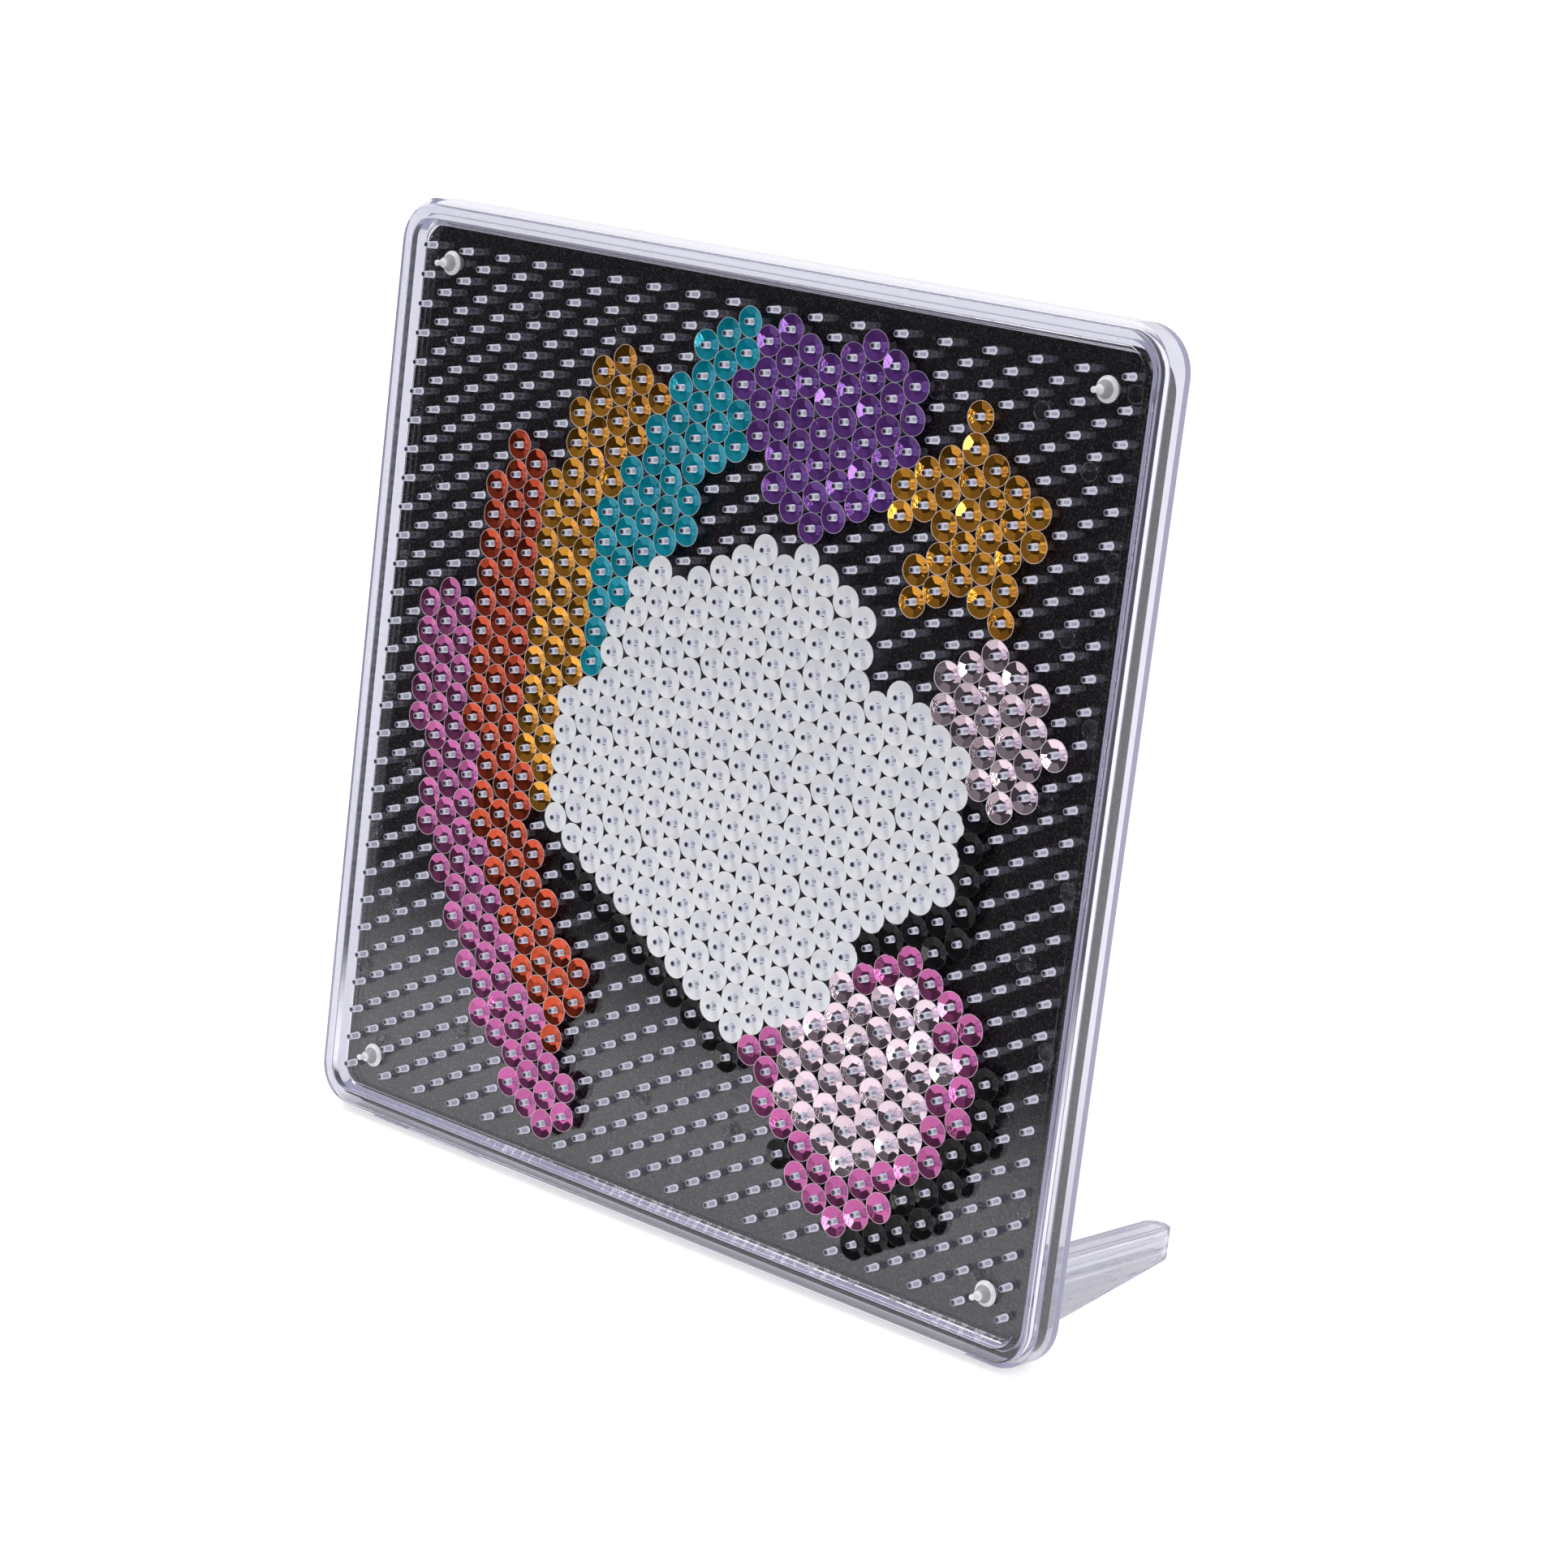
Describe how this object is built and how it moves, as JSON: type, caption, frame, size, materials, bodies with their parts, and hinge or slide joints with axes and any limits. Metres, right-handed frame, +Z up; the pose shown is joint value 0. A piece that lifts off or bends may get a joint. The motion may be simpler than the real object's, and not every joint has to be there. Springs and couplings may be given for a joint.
{
  "type": "sequin peg board picture stand",
  "caption": "Square clear frame with a pegged front tray over a black card, coloured cup sequins threaded on its pegs as a picture, leaning back on two plug-in feet.",
  "frame": {"origin": "on the floor at the middle of the footprint's bounding box", "axes": "+Z up, -Y out of the picture's front, +X to the viewer's right when facing the picture"},
  "size_m": [0.19, 0.062, 0.1881],
  "materials": {
    "clear_tray": "polished clear polystyrene",
    "clear_shell": "polished clear polystyrene",
    "clear_foot": "polished clear polystyrene",
    "milky_rivet": "clear polystyrene, stressed slightly milky",
    "black_card": "matt black printed card with fine fibre",
    "sequin_white": "satin milky film",
    "sequin_gold": "glossy tinted metallised film",
    "sequin_orange": "glossy tinted metallised film",
    "sequin_turquoise": "glossy tinted metallised film",
    "sequin_violet": "glossy tinted metallised film",
    "sequin_magenta": "glossy tinted metallised film",
    "sequin_pale_pink": "glossy tinted metallised film",
    "sequin_black": "glossy black film"
  },
  "bodies": {
    "rear_shell": {"rear_shell": "clear_shell"},
    "backing_card": {"backing_card": "black_card"},
    "peg_tray": {"peg_tray": "clear_tray"},
    "rivet_top_left": {"rivet_top_left": "milky_rivet"},
    "rivet_top_right": {"rivet_top_right": "milky_rivet"},
    "rivet_bottom_left": {"rivet_bottom_left": "milky_rivet"},
    "rivet_bottom_right": {"rivet_bottom_right": "milky_rivet"},
    "foot_left": {"foot_left": "clear_foot"},
    "foot_right": {"foot_right": "clear_foot"},
    "sequins": {"sequins_white": "sequin_white", "sequins_gold": "sequin_gold", "sequins_orange": "sequin_orange", "sequins_turquoise": "sequin_turquoise", "sequins_violet": "sequin_violet", "sequins_magenta": "sequin_magenta", "sequins_pale_pink": "sequin_pale_pink", "sequins_black": "sequin_black"}
  },
  "joints": [
    {"name": "tray_lift", "type": "slide", "parent": "rear_shell", "child": "peg_tray", "axis": [0, -0.9843, 0.1762], "range_m": [0, 0.03]},
    {"name": "card_lift", "type": "slide", "parent": "rear_shell", "child": "backing_card", "axis": [0, -0.9843, 0.1762], "range_m": [0, 0.015]},
    {"name": "sequins_lift", "type": "slide", "parent": "peg_tray", "child": "sequins", "axis": [0, -0.9843, 0.1762], "range_m": [0, 0.006]},
    {"name": "rivet_top_left_pull", "type": "slide", "parent": "peg_tray", "child": "rivet_top_left", "axis": [0, -0.9843, 0.1762], "range_m": [0, 0.01]},
    {"name": "rivet_top_right_pull", "type": "slide", "parent": "peg_tray", "child": "rivet_top_right", "axis": [0, -0.9843, 0.1762], "range_m": [0, 0.01]},
    {"name": "rivet_bottom_left_pull", "type": "slide", "parent": "peg_tray", "child": "rivet_bottom_left", "axis": [0, -0.9843, 0.1762], "range_m": [0, 0.01]},
    {"name": "rivet_bottom_right_pull", "type": "slide", "parent": "peg_tray", "child": "rivet_bottom_right", "axis": [0, -0.9843, 0.1762], "range_m": [0, 0.01]},
    {"name": "foot_left_pull", "type": "slide", "parent": "rear_shell", "child": "foot_left", "axis": [0, 0.9843, -0.1762], "range_m": [0, 0.015]},
    {"name": "foot_right_pull", "type": "slide", "parent": "rear_shell", "child": "foot_right", "axis": [0, 0.9843, -0.1762], "range_m": [0, 0.015]}
  ],
  "couplings": [
    {"joint": "card_lift", "follows": "tray_lift", "ratio": 0.5}
  ]
}
